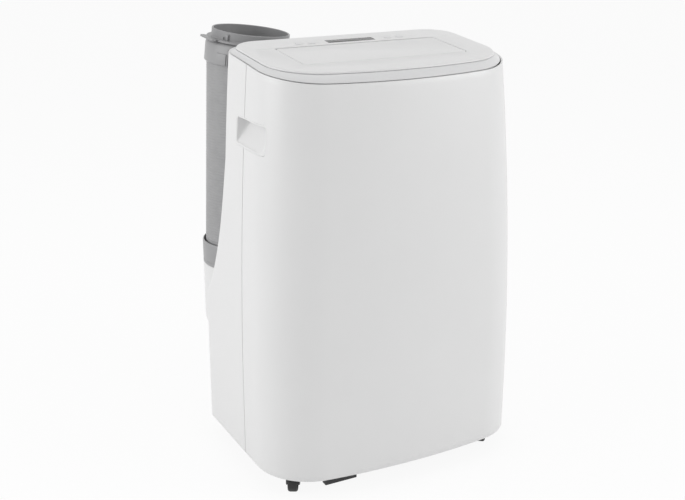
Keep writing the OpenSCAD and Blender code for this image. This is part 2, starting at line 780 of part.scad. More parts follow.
module lower_scroll() {
    y0 = low_fan_y - low_scroll_d / 2;
    y1 = low_fan_y + low_scroll_d / 2;
    color("whitesmoke") difference() {
        union() {
            rod_y(low_scroll_r, y0, y1, low_fan_x, low_fan_z);
            box([hose_x - mouth_x, hose_x + mouth_x], [y0, y1], [low_fan_z, collar_z - 22]);
            box([low_fan_x - 30, low_fan_x + 30], [y0, y1], [pan_top_z + fit_gap, low_fan_z - 80]);
        }
        rod_y(low_scroll_r - duct_wall, y0 + duct_wall, y1 - duct_wall, low_fan_x, low_fan_z);
        box([hose_x - mouth_x + duct_wall, hose_x + mouth_x - duct_wall],
            [y0 + duct_wall, y1 - duct_wall],
            [low_fan_z + 4, collar_z - 24.5]);
        box([hose_x - mouth_x + 6, hose_x + mouth_x - 6], [y1 - 5, y1 + 5],
            [low_fan_z + 6, collar_z - 28]);
        rod_y(low_fan_r - 34, low_fan_y, y1 + 1, low_fan_x + 20, low_fan_z - 22);
        rod_y(shaft_r + 6, y0 - 1, low_fan_y, low_fan_x, low_fan_z);
    }
}

module lower_blower() {
    color("dimgray") translate([low_fan_x, low_fan_y - low_fan_w / 2, low_fan_z])
        rotate([-90, 0, 0]) blower(low_fan_r, low_fan_w, 16, 12 + fit_gap + motor_l - 8);
}

module lower_motor() {
    color("gray") motor(low_fan_y - low_scroll_d / 2 - fit_gap, low_fan_x, low_fan_z, 40);
}

module exhaust_duct() {
    half = mouth_x - 3;
    y0 = low_fan_y + low_scroll_d / 2 + fit_gap;
    y1 = hose_y - sqrt(pow(pod_r, 2) - pow(mouth_x - 2, 2)) + 2;
    z0 = low_fan_z + 4;
    z1 = collar_z - 25;
    color("whitesmoke") difference() {
        box([hose_x - half, hose_x + half], [y0, y1], [z0, z1]);
        box([hose_x - half + duct_wall, hose_x + half - duct_wall], [y0 - 1, y1 + 1],
            [z0 + duct_wall, z1 - duct_wall]);
    }
}

module compressor() {
    foot_z = pan_top_z + 12 + fit_gap;
    dome = 30;
    color([0.12, 0.12, 0.13]) {
        translate([comp_x, comp_y, foot_z]) rotate_extrude() {
            square([comp_r, comp_h - dome]);
            translate([0, comp_h - dome]) square([comp_r - dome, dome]);
            translate([comp_r - dome, comp_h - dome]) intersection() {
                circle(r = dome);
                square(dome);
            }
        }
        for (a = [90, 210, 330]) translate([comp_x, comp_y, foot_z]) rotate([0, 0, a])
            translate([comp_r - 10, -11, 0]) cube([28, 22, 4]);
    }
}

module compressor_feet() {
    color([0.05, 0.05, 0.05]) for (a = [90, 210, 330])
        rod_z(9, pan_top_z, pan_top_z + 12, comp_x + (comp_r + 8) * cos(a),
            comp_y + (comp_r + 8) * sin(a));
}

tank_z = 150;
tank_top_z = tank_z + 130;

module accumulator() {
    gap = norm([comp_x - tank_x, comp_y - tank_y]) - comp_r - tank_r;
    turn = atan2(comp_y - tank_y, comp_x - tank_x);
    color([0.15, 0.15, 0.16]) {
        rod_z(tank_r, tank_z, tank_top_z, tank_x, tank_y);
        translate([tank_x, tank_y, tank_z + 55]) rotate([0, 0, turn])
            translate([tank_r - 3, -5, 0]) cube([gap + 3 - fit_gap, 10, 20]);
    }
}

module suction_pipe() {
    r = 6;
    z = part_top_z + 8;
    color("peru") {
        rod_z(r, tank_top_z, z, tank_x, tank_y);
        translate([tank_x, tank_y, z]) sphere(r = r);
        rod_y(r, tank_y, evap_y + 1, tank_x, z);
    }
}

module discharge_pipe() {
    r = 4.5;
    z = pan_top_z + 12 + comp_h + 22;
    x = comp_x + 20;
    y = rear_low_y - 46;
    color("peru") {
        rod_z(r, pan_top_z + 12 + fit_gap + comp_h, z, x, comp_y);
        translate([x, comp_y, z]) sphere(r = r);
        rod_y(r, comp_y, y, x, z);
        translate([x, y, z]) sphere(r = r);
        rod_z(r, 262, z, x, y);
        translate([x, y, 262]) sphere(r = r);
        rod_y(r, y, cond_y + 1, x, 262);
    }
}

// ---- hose -----------------------------------------------------------------

collar_in = hose_d / 2 + collar_room;
ledge_h = 6;
hose_z0 = collar_z + ledge_h + fit_gap + hose_d / 2 * tan(hose_lean);
adaptor_tilt = [3, 6, 0];
adaptor_x = hose_x + (adaptor_z - collar_z) * tan(hose_lean);

module hose_collar() {
    color([0.55, 0.55, 0.56]) at_hose() {
        tube_z(pod_r, collar_in, collar_z, collar_z + collar_h);
        tube_z(pod_r, pod_r - 8, collar_z, collar_z + ledge_h);
    }
}

module exhaust_hose() {
    pitch = 10;
    length = adaptor_z + 18 - hose_z0;
    count = floor(length / pitch);
    r = hose_d / 2;
    step = length / count;
    // One saw-tooth per corrugation, outside and inside
    outside = [for (i = [0:count - 1]) each [[r - 2.5, i * step], [r, (i + 0.5) * step]]];
    inside = [for (i = [count - 1:-1:0]) each [[r - 2, (i + 0.5) * step], [r - 4.5, i * step]]];
    color([0.66, 0.66, 0.67]) translate([hose_x, hose_y, hose_z0]) rotate([0, hose_lean, 0])
        rotate_extrude() polygon(concat(outside, [[r - 2.5, length], [r - 4.5, length]], inside));
}

module at_adaptor() {
    translate([adaptor_x, hose_y, adaptor_z]) rotate(adaptor_tilt) children();
}

module hose_adaptor() {
    color([0.5, 0.5, 0.51]) at_adaptor() {
        tube_z(pod_r, collar_in, 0, adaptor_h);
        tube_z(pod_r, collar_in - 3.5, adaptor_h - 3, adaptor_h);
        for (a = [45:90:315]) rotate([0, 0, a])
            translate([collar_in + 0.5, -11, 8]) cube([collar_wall + 1.5, 22, 20]);
    }
}

module window_flange() {
    z0 = adaptor_h + fit_gap;
    color([0.45, 0.45, 0.46]) at_adaptor() {
        difference() {
            tube_z(pod_r - 1, spigot_r - 3, z0, z0 + rim_t);
            for (a = [40, 220]) rotate([0, 0, a]) translate([pod_r - 5, -7, z0 - 1])
                cube([12, 14, rim_t + 2]);
        }
        tube_z(spigot_r, spigot_r - 3, z0 + rim_t - 0.1, z0 + rim_t + spigot_h);
    }
}

// ---- small fittings -------------------------------------------------------

module cord_gland() {
    color([0.1, 0.1, 0.1]) difference() {
        union() {
            rod_y(7, rear_low_y - 8, rear_low_y + 1, gland[0], gland[1]);
            rod_y(10, rear_low_y, rear_low_y + 4, gland[0], gland[1]);
        }
        rod_y(4, rear_low_y - 9, rear_low_y + 5, gland[0], gland[1]);
    }
}

module drain_barb() {
    color("white") difference() {
        union() {
            rod_y(barb_r - 0.5, rear_low_y - 9, rear_low_y + 1, drain[0], drain[1]);
            rod_y(barb_r + 4, rear_low_y, rear_low_y + barb_flange, drain[0], drain[1]);
            rod_y(barb_r, rear_low_y + 1, barb_end_y, drain[0], drain[1]);
        }
        rod_y(barb_r - barb_wall, rear_low_y - 10, barb_end_y + 1, drain[0], drain[1]);
    }
}

module drain_plug() {
    tab_y = barb_end_y + 4;
    color("gray") {
        rod_y(barb_r - barb_wall - run_gap, rear_low_y + 4, barb_end_y + 1, drain[0], drain[1]);
        rod_y(barb_r - 0.5, barb_end_y + fit_gap, tab_y, drain[0], drain[1]);
        box([drain[0] - 1.5, drain[0] + 1.5], [tab_y - 1, tab_y + 8],
            [drain[1] - 7, drain[1] + 7]);
    }
}

module casing_screws() {
    low_x = [low_win[0] - 14, low_win[1] + 20];
    color("silver") {
        for (x = low_x, z = [102, 262]) screw(x, rear_low_y, z);
        for (z = [600, 690]) screw(up_win[0] - 10, rear_top_y, z);
    }
}

module screw(x, y, z) {
    difference() {
        rod_y(4, y, y + 1.6, x, z);
        box([x - 2.5, x + 2.5], [y + 0.9, y + 2], [z - 0.5, z + 0.5]);
        box([x - 0.5, x + 0.5], [y + 0.9, y + 2], [z - 2.5, z + 2.5]);
    }
}

base_pan();
front_panel();
rear_housing();
exhaust_shroud();
trim_ring();
top_deck();
display_window();
display_board();
handle_left();
handle_right();
upper_grille();
upper_filter();
lower_grille();
lower_filter();
evaporator_coil();
condenser_coil();
partition();
upper_scroll();
lower_scroll();
upper_blower();
lower_blower();
upper_motor();
lower_motor();
compressor();
accumulator();
compressor_feet();
suction_pipe();
discharge_pipe();
control_box();
heat_sink();
exhaust_duct();
hose_collar();
exhaust_hose();
hose_adaptor();
window_flange();
cord_gland();
drain_barb();
drain_plug();
casing_screws();
vane();
vane_motor();
louver_link();
for (i = [1:3]) louver(i);
for (i = [1:4]) caster_fork(i - 1);
for (i = [1:4]) caster_wheel(i - 1);
for (i = [1:4]) key(i - 1);
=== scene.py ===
import json
import math

import bmesh
import bpy
from mathutils import Matrix, Vector
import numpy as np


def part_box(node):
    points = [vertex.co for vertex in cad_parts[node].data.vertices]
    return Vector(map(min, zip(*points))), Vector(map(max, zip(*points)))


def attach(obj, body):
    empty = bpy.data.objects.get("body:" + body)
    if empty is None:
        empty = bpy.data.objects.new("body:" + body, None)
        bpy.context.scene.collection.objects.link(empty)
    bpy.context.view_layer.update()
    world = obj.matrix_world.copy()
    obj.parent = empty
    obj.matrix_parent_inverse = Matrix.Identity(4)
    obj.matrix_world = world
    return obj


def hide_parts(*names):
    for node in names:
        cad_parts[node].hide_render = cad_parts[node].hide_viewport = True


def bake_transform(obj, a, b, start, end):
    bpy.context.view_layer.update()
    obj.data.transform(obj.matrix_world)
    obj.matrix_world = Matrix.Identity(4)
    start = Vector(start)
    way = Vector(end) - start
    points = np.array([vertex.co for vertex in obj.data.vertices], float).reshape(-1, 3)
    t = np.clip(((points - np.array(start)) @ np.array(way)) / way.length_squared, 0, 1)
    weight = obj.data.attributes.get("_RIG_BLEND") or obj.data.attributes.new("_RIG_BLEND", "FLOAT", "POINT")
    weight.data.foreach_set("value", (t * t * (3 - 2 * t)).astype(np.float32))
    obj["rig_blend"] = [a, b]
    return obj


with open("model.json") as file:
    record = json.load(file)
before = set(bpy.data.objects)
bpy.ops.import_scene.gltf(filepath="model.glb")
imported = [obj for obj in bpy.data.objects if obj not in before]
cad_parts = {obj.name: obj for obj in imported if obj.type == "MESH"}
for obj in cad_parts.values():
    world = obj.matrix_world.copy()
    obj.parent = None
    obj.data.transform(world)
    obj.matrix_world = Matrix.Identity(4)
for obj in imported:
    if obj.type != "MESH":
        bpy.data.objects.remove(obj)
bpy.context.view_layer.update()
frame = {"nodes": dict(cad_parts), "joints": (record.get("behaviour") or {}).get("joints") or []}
nodes = frame["nodes"]

mm = 0.001
shared = {
    "smoothAngle": math.radians(32), "edge": 0.7 * mm, "cutOverrun": 6 * mm,
    "fit": 0.3 * mm, "roundSteps": 6, "grainDepth": 0.04 * mm,
}
quarterTurn = math.pi / 2
alongX = Matrix.Rotation(quarterTurn, 4, "Y")


# ---- working helpers ----

def deselectAll():
    bpy.ops.object.select_all(action="DESELECT")


def pick(obj):
    # Leaves obj as the only selected and the active object
    deselectAll()
    obj.select_set(True)
    bpy.context.view_layer.objects.active = obj


def named(name):
    obj = bpy.context.object
    obj.name = name
    obj.data.name = name
    return obj


def modify(obj, kind, **settings):
    pick(obj)
    tool = obj.modifiers.new(kind, kind)
    for key, value in settings.items():
        setattr(tool, key, value)
    bpy.ops.object.modifier_apply(modifier=tool.name)


def bevelEdges(obj, width, segments=2, angle=35):
    modify(obj, "BEVEL", width=width, segments=segments, limit_method="ANGLE",
           angle_limit=math.radians(angle), harden_normals=False)


def smooth(obj, angle=shared["smoothAngle"]):
    pick(obj)
    bpy.ops.object.shade_smooth_by_angle(angle=angle)


def cut(obj, cutter, operation="DIFFERENCE"):
    modify(obj, "BOOLEAN", operation=operation, object=cutter, solver="EXACT")
    bpy.data.objects.remove(cutter)


def join(name, parts):
    deselectAll()
    for part in parts:
        part.select_set(True)
    bpy.context.view_layer.objects.active = parts[0]
    bpy.ops.object.join()
    return named(name)


def place(obj, matrix):
    # Moves a piece to its place and leaves the place in its mesh
    pick(obj)
    obj.matrix_world = matrix @ obj.matrix_world
    bpy.ops.object.transform_apply(location=True, rotation=True, scale=True)


def copyOf(obj, name, matrix=Matrix.Identity(4)):
    pick(obj)
    bpy.ops.object.duplicate(linked=False)
    made = named(name)
    place(made, matrix)
    return made


def fixNormals(obj):
    pick(obj)
    bpy.ops.object.mode_set(mode="EDIT")
    bpy.ops.mesh.select_all(action="SELECT")
    bpy.ops.mesh.remove_doubles(threshold=0.00001)
    bpy.ops.mesh.normals_make_consistent(inside=False)
    bpy.ops.object.mode_set(mode="OBJECT")


def block(name, low, high, round_=0.0, axis=None):
    # A box between two corners, with the edges along one axis rounded
    deselectAll()
    low, high = Vector(low), Vector(high)
    bpy.ops.mesh.primitive_cube_add(size=1, location=(low + high) / 2, scale=high - low)
    obj = named(name)
    pick(obj)
    bpy.ops.object.transform_apply(location=True, rotation=True, scale=True)
    if round_:
        bpy.ops.object.mode_set(mode="EDIT")
        bpy.ops.mesh.select_all(action="DESELECT")
        bm = bmesh.from_edit_mesh(obj.data)
        bm.select_mode = {"EDGE"}
        for edge in bm.edges:
            run = edge.verts[1].co - edge.verts[0].co
            edge.select_set(axis is None or abs(run["xyz".index(axis)]) > run.length * 0.99)
        bm.select_flush_mode()
        bmesh.update_edit_mesh(obj.data)
        bpy.ops.mesh.bevel(offset=round_, segments=shared["roundSteps"], affect="EDGES")
        bpy.ops.object.mode_set(mode="OBJECT")
    return obj


def turned(name, profile, matrix=Matrix.Identity(4), steps=96, closed=True):
    # A turned part: a circle is extruded and resized through (radius, height) pairs
    deselectAll()
    first = profile[0]
    bpy.ops.mesh.primitive_circle_add(vertices=steps, radius=first[0], location=(0, 0, 0))
    obj = named(name)
    pick(obj)
    bpy.ops.object.mode_set(mode="EDIT")
    bpy.ops.mesh.select_all(action="SELECT")
    bpy.ops.transform.translate(value=(0, 0, first[1]))
    radius, height = first
    for nextRadius, nextHeight in profile[1:] + ([first] if closed else []):
        bpy.ops.mesh.extrude_edges_move(TRANSFORM_OT_translate={"value": (0, 0, nextHeight - height)})
        grow = nextRadius / radius
        bpy.ops.transform.resize(value=(grow, grow, 1), center_override=(0, 0, nextHeight))
        radius, height = nextRadius, nextHeight
    bpy.ops.object.mode_set(mode="OBJECT")
    fixNormals(obj)
    place(obj, matrix)
    return obj


def sheet(name, columns, rows, spot):
    # A grid laid on a surface: spot(u, v) gives the place of a point, u along and v up
    deselectAll()
    bpy.ops.mesh.primitive_grid_add(x_subdivisions=columns, y_subdivisions=rows, size=2)
    obj = named(name)
    for vert in obj.data.vertices:
        vert.co = spot((vert.co.x + 1) / 2, (vert.co.y + 1) / 2)
    return obj


def loftRings(name, count, rings, closed=True):
    # A circle is extruded ring by ring; rings is a list of functions from a share of the turn to a point
    deselectAll()
    bpy.ops.mesh.primitive_circle_add(vertices=count, radius=1, fill_type="NOTHING")
    obj = named(name)
    pick(obj)
    bpy.ops.object.mode_set(mode="EDIT")
    bm = bmesh.from_edit_mesh(obj.data)
    share = bm.verts.layers.float.new("share")
    for vert in bm.verts:
        vert[share] = (math.atan2(vert.co.y, vert.co.x) / (2 * math.pi) + 1) % 1
        vert.co = rings[0](vert[share])
    bmesh.update_edit_mesh(obj.data)
    bpy.ops.mesh.select_all(action="SELECT")
    for ring in rings[1:] + ([rings[0]] if closed else []):
        bpy.ops.mesh.extrude_edges_move()
        bm = bmesh.from_edit_mesh(obj.data)
        share = bm.verts.layers.float["share"]
        for vert in bm.verts:
            if vert.select:
                vert.co = ring(vert[share])
        bmesh.update_edit_mesh(obj.data)
    bpy.ops.object.mode_set(mode="OBJECT")
    obj.data.attributes.remove(obj.data.attributes["share"])
    return obj


# ---- materials ----

def newMaterial(name, colour, roughness, metallic=0.0, **sockets):
    mat = bpy.data.materials.new(name)
    mat.use_nodes = True
    shader = mat.node_tree.nodes["Principled BSDF"]
    shader.inputs["Base Color"].default_value = (*colour, 1)
    shader.inputs["Roughness"].default_value = roughness
    shader.inputs["Metallic"].default_value = metallic
    for key, value in sockets.items():
        shader.inputs[key.replace("_", " ")].default_value = value
    return mat, mat.node_tree, shader


def objectCoordinates(tree, scale=(1, 1, 1)):
    source = tree.nodes.new("ShaderNodeTexCoord")
    mapping = tree.nodes.new("ShaderNodeMapping")
    mapping.inputs["Scale"].default_value = scale
    tree.links.new(source.outputs["Object"], mapping.inputs["Vector"])
    return mapping.outputs["Vector"]


def noise(tree, vector, scale, detail=2.0):
    node = tree.nodes.new("ShaderNodeTexNoise")
    node.inputs["Scale"].default_value = scale
    node.inputs["Detail"].default_value = detail
    tree.links.new(vector, node.inputs["Vector"])
    return node.outputs["Fac"]


def ramp(tree, fac, stops):
    node = tree.nodes.new("ShaderNodeValToRGB")
    while len(node.color_ramp.elements) < len(stops):
        node.color_ramp.elements.new(0.5)
    for element, (at, colour) in zip(node.color_ramp.elements, stops):
        element.position = at
        element.color = (*colour, 1)
    tree.links.new(fac, node.inputs["Fac"])
    return node.outputs["Color"]


def spread(tree, fac, low, high):
    node = tree.nodes.new("ShaderNodeMapRange")
    node.inputs["To Min"].default_value = low
    node.inputs["To Max"].default_value = high
    tree.links.new(fac, node.inputs["Value"])
    return node.outputs["Result"]


def bump(tree, shader, height, strength, distance):
    node = tree.nodes.new("ShaderNodeBump")
    node.inputs["Strength"].default_value = strength
    node.inputs["Distance"].default_value = distance
    tree.links.new(height, node.inputs["Height"])
    tree.links.new(node.outputs["Normal"], shader.inputs["Normal"])


def plastic(name, colour, roughness, grain=900.0, strength=0.25, shade=0.02, **sockets):
    # Moulded plastic: a fine spark-eroded grain, slow sheen patches and a faint drift of colour
    mat, tree, shader = newMaterial(name, colour, roughness, **sockets)
    at = objectCoordinates(tree)
    slow = noise(tree, at, 7.0, 3.0)
    light = tuple(min(1, c * (1 + shade)) for c in colour)
    dark = tuple(c * (1 - shade) for c in colour)
    tree.links.new(ramp(tree, slow, [(0.3, dark), (0.7, light)]), shader.inputs["Base Color"])
    tree.links.new(spread(tree, noise(tree, at, 26.0, 4.0), roughness - 0.05, roughness + 0.05),
                   shader.inputs["Roughness"])
    bump(tree, shader, noise(tree, at, grain, 3.0), strength, shared["grainDepth"])
    return mat


def brushed(name, colour, roughness, along=(4, 900, 900)):
    mat, tree, shader = newMaterial(name, colour, roughness, 1.0)
    at = objectCoordinates(tree, along)
    streak = noise(tree, at, 1.0, 4.0)
    tree.links.new(spread(tree, streak, roughness - 0.08, roughness + 0.1), shader.inputs["Roughness"])
    light = tuple(min(1, c * 1.06) for c in colour)
    dark = tuple(c * 0.92 for c in colour)
    tree.links.new(ramp(tree, streak, [(0.3, dark), (0.7, light)]), shader.inputs["Base Color"])
    bump(tree, shader, streak, 0.1, 0.00003)
    return mat


paint = {
    "casing": (0.8, 0.8, 0.8),
    "deck": (0.78, 0.78, 0.78),
    "band": (0.74, 0.742, 0.745),
    "duct": (0.345, 0.345, 0.35),
    "sleeve": (0.34, 0.34, 0.345),
    "flange": (0.29, 0.29, 0.295),
    "black": (0.018, 0.018, 0.019),
}

casingWhite = plastic("casingWhite", paint["casing"], 0.36, strength=0.18, shade=0.008)
deckWhite = plastic("deckWhite", paint["deck"], 0.33, strength=0.15, shade=0.008)
bandSilver = plastic("bandSilver", paint["band"], 0.3, grain=1600, strength=0.12, shade=0.015)
innerWhite = plastic("innerWhite", (0.62, 0.62, 0.61), 0.5)
blackPlastic = plastic("blackPlastic", paint["black"], 0.5, grain=700, strength=0.4, shade=0.15)
collarGrey = plastic("collarGrey", paint["sleeve"], 0.42, strength=0.22, shade=0.03)
flangeGrey = plastic("flangeGrey", paint["flange"], 0.4, strength=0.22, shade=0.03)
fanGrey = plastic("fanGrey", (0.05, 0.05, 0.052), 0.45, shade=0.08)
plugGrey = plastic("plugGrey", (0.12, 0.12, 0.125), 0.62, grain=500, strength=0.4, shade=0.06)
keyWhite = plastic("keyWhite", (0.74, 0.74, 0.745), 0.34, shade=0.01)
casterGrey = plastic("casterGrey", (0.06, 0.06, 0.062), 0.32, shade=0.06)
wheelBlack = plastic("wheelBlack", (0.016, 0.016, 0.016), 0.55, grain=420, strength=0.5, shade=0.2)
compressorBlack = plastic("compressorBlack", (0.02, 0.02, 0.021), 0.25, grain=260, strength=0.3)
circuitGreen = plastic("circuitGreen", (0.01, 0.09, 0.03), 0.35, grain=300)
motorSteel = brushed("motorSteel", (0.55, 0.55, 0.56), 0.34)
screwSteel = brushed("screwSteel", (0.6, 0.6, 0.61), 0.28)
coilAluminium = brushed("coilAluminium", (0.72, 0.73, 0.74), 0.38, along=(900, 900, 4))
copper = brushed("copper", (0.72, 0.36, 0.22), 0.3, along=(500, 500, 6))


def makeDuctFilm():
    # Thin film: a soft waxy sheen and small creases
    mat, tree, shader = newMaterial("ductFilm", paint["duct"], 0.5)
    at = objectCoordinates(tree)
    crease = noise(tree, at, 60.0, 5.0)
    dark, light = (tuple(c * share for c in paint["duct"]) for share in (0.95, 1.05))
    tree.links.new(ramp(tree, crease, [(0.25, dark), (0.75, light)]), shader.inputs["Base Color"])
    tree.links.new(spread(tree, noise(tree, at, 18.0, 3.0), 0.44, 0.58), shader.inputs["Roughness"])
    bump(tree, shader, crease, 0.35, 0.0006)
    return mat


def makeDisplayGlass():
    # Smoked window: near black, with a faint haze in its roughness
    mat, tree, shader = newMaterial("displayGlass", (0.012, 0.012, 0.014), 0.2, Specular_IOR_Level=0.25)
    at = objectCoordinates(tree)
    tree.links.new(spread(tree, noise(tree, at, 90.0, 5.0), 0.08, 0.2), shader.inputs["Roughness"])
    return mat


def makeFilterMesh():
    # Woven dust screen: two crossed sets of threads
    mat, tree, shader = newMaterial("filterMesh", (0.03, 0.03, 0.032), 0.7)
    at = objectCoordinates(tree)
    threads = []
    for direction in ("X", "Z"):
        wave = tree.nodes.new("ShaderNodeTexWave")
        wave.bands_direction = direction
        wave.inputs["Scale"].default_value = 260.0
        tree.links.new(at, wave.inputs["Vector"])
        threads.append(wave.outputs["Fac"])
    cross = tree.nodes.new("ShaderNodeMath")
    cross.operation = "MAXIMUM"
    tree.links.new(threads[0], cross.inputs[0])
    tree.links.new(threads[1], cross.inputs[1])
    tree.links.new(ramp(tree, cross.outputs[0], [(0.5, (0.008, 0.008, 0.008)), (0.95, (0.07, 0.07, 0.072))]),
                   shader.inputs["Base Color"])
    bump(tree, shader, cross.outputs[0], 0.8, 0.0004)
    return mat


ductFilm = makeDuctFilm()
displayGlass = makeDisplayGlass()
filterMesh = makeFilterMesh()
print("materials ready")


def finishPiece(obj, material, body, slot, *replaced):
    obj.data.materials.clear()
    obj.data.materials.append(material)
    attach(obj, body)
    if replaced:
        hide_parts(*replaced)


# ---- casing shape, worked out from the frame ----

panelLow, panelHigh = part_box("front_panel")
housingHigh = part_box("rear_housing")[1]
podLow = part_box("exhaust_shroud")[0]
collarLow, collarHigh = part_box("hose_collar")

casing = {
    "halfWidth": panelHigh.x, "frontY": panelLow.y, "rearLowY": housingHigh.y,
    "skirtZ": panelLow.z, "topZ": 0.746, "slope": math.radians(5.1), "taperZ": 0.143,
    "sideTaper": 0.024, "frontTaper": 0.022, "frontRadius": 0.1, "bow": 0.0085,
    "rearRadiusLow": 0.018, "rearRadiusTop": 0.06, "rearStep": 0.054, "wall": 0.003,
    "seamY": -0.066, "deckInset": 0.012, "bandSide": 0.009, "bandFront": 0.018,
    "collarZ": collarLow.z, "seamGap": 0.0007, "holeRound": 0.004,
    "stepBelow": 0.036, "stepAbove": 0.234,
}
rearTopY = casing["rearLowY"] - casing["rearStep"]
stepLowZ = casing["collarZ"] - casing["stepBelow"]
stepTopZ = casing["collarZ"] + casing["stepAbove"]


def lean(z):
    return (max(0, z - casing["taperZ"]) / (casing["topZ"] - casing["taperZ"])) ** 2


def halfWidth(z):
    return casing["halfWidth"] - casing["sideTaper"] * lean(z)


def frontAt(z):
    return casing["frontY"] + casing["frontTaper"] * lean(z)


def rearMix(z):
    return min(1, max(0, (stepTopZ - z) / (stepTopZ - stepLowZ)))


def rearAt(z):
    return rearTopY + casing["rearStep"] * rearMix(z) ** 3


def rearRadius(z):
    return casing["rearRadiusTop"] + (casing["rearRadiusLow"] - casing["rearRadiusTop"]) * rearMix(z)


def deckAt(y):
    return casing["topZ"] + (y - rearTopY) * math.tan(casing["slope"])


def shellTop(y):
    drop = (max(0, -y) / -casing["frontY"]) ** 2
    return deckAt(y) - casing["bandSide"] - (casing["bandFront"] - casing["bandSide"]) * drop


bowShare, cornerShare = 0.36, 0.82


def frontPoint(z, inset, s):
    # s runs from -1 at the left seam through 0 at the middle of the bow to 1 at the right seam
    radius = casing["frontRadius"]
    side, t = (-1 if s < 0 else 1), abs(s)
    flat = halfWidth(z) - radius
    k = casing["bow"] / flat ** 2
    start = math.atan(2 * k * flat / (1 - 2 * k * radius))
    joinX = flat + radius * math.sin(start)
    centreY = frontAt(z) + k * joinX ** 2 + radius * math.cos(start)
    if t <= bowShare:
        x = joinX * t / bowShare
        turn = math.atan(2 * k * x)
        return side * (x - inset * math.sin(turn)), frontAt(z) + k * x * x + inset * math.cos(turn)
    if t <= cornerShare:
        turn = start + (quarterTurn - start) * (t - bowShare) / (cornerShare - bowShare)
        inner = radius - inset
        return side * (flat + inner * math.sin(turn)), centreY - inner * math.cos(turn)
    mix = (t - cornerShare) / (1 - cornerShare)
    return side * (halfWidth(z) - inset), centreY + (casing["seamY"] - centreY) * mix


rearFlatShare, rearCornerShare = 0.4, 0.75


def rearPoint(z, inset, s):
    # s runs from -1 at the right seam through 0 at the middle of the rear wall to 1 at the left seam
    radius = rearRadius(z)
    side, t = (1 if s < 0 else -1), abs(s)
    flat = halfWidth(z) - radius
    inner = max(radius - inset, 0.0005)
    if t <= rearFlatShare:
        return side * flat * t / rearFlatShare, rearAt(z) - inset
    if t <= rearCornerShare:
        turn = quarterTurn * (1 - (t - rearFlatShare) / (rearCornerShare - rearFlatShare))
        return side * (flat + inner * math.cos(turn)), rearAt(z) - radius + inner * math.sin(turn)
    mix = (t - rearCornerShare) / (1 - rearCornerShare)
    y = rearAt(z) - radius
    return side * (halfWidth(z) - inset), y + (casing["seamY"] - y) * mix


def planPoint(z, inset, share):
    # The whole outline, from the middle of the front towards +X and round
    turn = (share % 1) * 4
    if turn <= 1:
        return frontPoint(z, inset, turn)
    if turn >= 3:
        return frontPoint(z, inset, turn - 4)
    return rearPoint(z, inset, turn - 2)


def climbed(point, v):
    # Height at share v of the wall over this spot of the outline
    return casing["skirtZ"] + (shellTop(point[1]) - casing["skirtZ"]) * v


def frontSpot(u, v):
    s = 2 * u - 1
    z = climbed(frontPoint(casing["topZ"], 0, s), v)
    x, y = frontPoint(z, 0, s)
    return x, y - (casing["seamGap"] if abs(s) > 0.999 else 0), z


def rearSpot(u, v):
    s = 2 * u - 1
    z = climbed(rearPoint(casing["topZ"], 0, s), v)
    x, y = rearPoint(z, 0, s)
    return x, y + (casing["seamGap"] if abs(s) > 0.999 else 0), z


grip = {
    "low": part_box("handle_left")[0], "high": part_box("handle_left")[1],
    "round": 0.007, "depth": 0.03, "liner": 0.0025, "edge": 0.001, "behind": 0.02, "proud": 0.03,
}


def gripWedge(side, extra, inset, corner):
    # A wedge with its thick end under the grip's roof, running out at the sill
    skin = halfWidth((grip["low"].z + grip["high"].z) / 2)
    low, high = grip["low"], grip["high"]
    obj = block("gripWedge", (skin - grip["depth"] - extra, low.y + inset, low.z + inset),
                (skin + grip["proud"], high.y - inset, high.z - inset))
    middle = (low.z + high.z) / 2
    for vert in obj.data.vertices:
        if vert.co.x < skin and vert.co.z < middle:
            vert.co.x = skin - extra
    bevelEdges(obj, corner, 5)
    if side < 0:
        place(obj, Matrix.Scale(-1, 4, (1, 0, 0)))
        fixNormals(obj)
    return obj


def gripCutter(side):
    return gripWedge(side, grip["liner"] + grip["behind"], -shared["fit"], grip["round"])


def makeFrontShell():
    obj = sheet("frontShell", 100, 60, frontSpot)
    modify(obj, "SOLIDIFY", thickness=casing["wall"], offset=-1, use_even_offset=True)
    for side in (-1, 1):
        cut(obj, gripCutter(side))
    bevelEdges(obj, shared["edge"], 2, 50)
    smooth(obj)
    finishPiece(obj, casingWhite, "root", "casing_white", "front_panel")


def openingCutter(node):
    # A hole right through the wall, as large as the node that fills it and its fit
    low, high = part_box(node)
    over, fit = shared["cutOverrun"], shared["fit"]
    return block("cutter", (low.x - fit, low.y - over, low.z - fit),
                 (high.x + fit, high.y + over, high.z + fit), casing["holeRound"], "y")


hoseCentre = Vector(((collarLow.x + collarHigh.x) / 2, (collarLow.y + collarHigh.y) / 2, 0))
podRadius = (collarHigh.x - collarLow.x) / 2


def hosePlace(z):
    return Matrix.Translation((hoseCentre.x, hoseCentre.y, z))


def postCutter(radius, low, high, centre=hoseCentre):
    deselectAll()
    bpy.ops.mesh.primitive_cylinder_add(vertices=128, radius=radius, depth=high - low,
                                        location=(centre.x, centre.y, (low + high) / 2))
    obj = named("postCutter")
    pick(obj)
    bpy.ops.object.transform_apply(location=True, rotation=True, scale=True)
    return obj


pod = {"round": 0.034, "lap": 0.002}


def podOutline(grow, deep):
    # Half section of the hose's cup: flat bottom, rounded corner, straight wall up to deep
    r = podRadius + grow
    points = [(0.002, -grow), (r - pod["round"], -grow)]
    for i in range(1, 11):
        turn = quarterTurn * i / 10
        points.append((r - pod["round"] + pod["round"] * math.sin(turn),
                       pod["round"] - pod["round"] * math.cos(turn) - grow))
    return points + [(r, deep), (0.002, deep)]


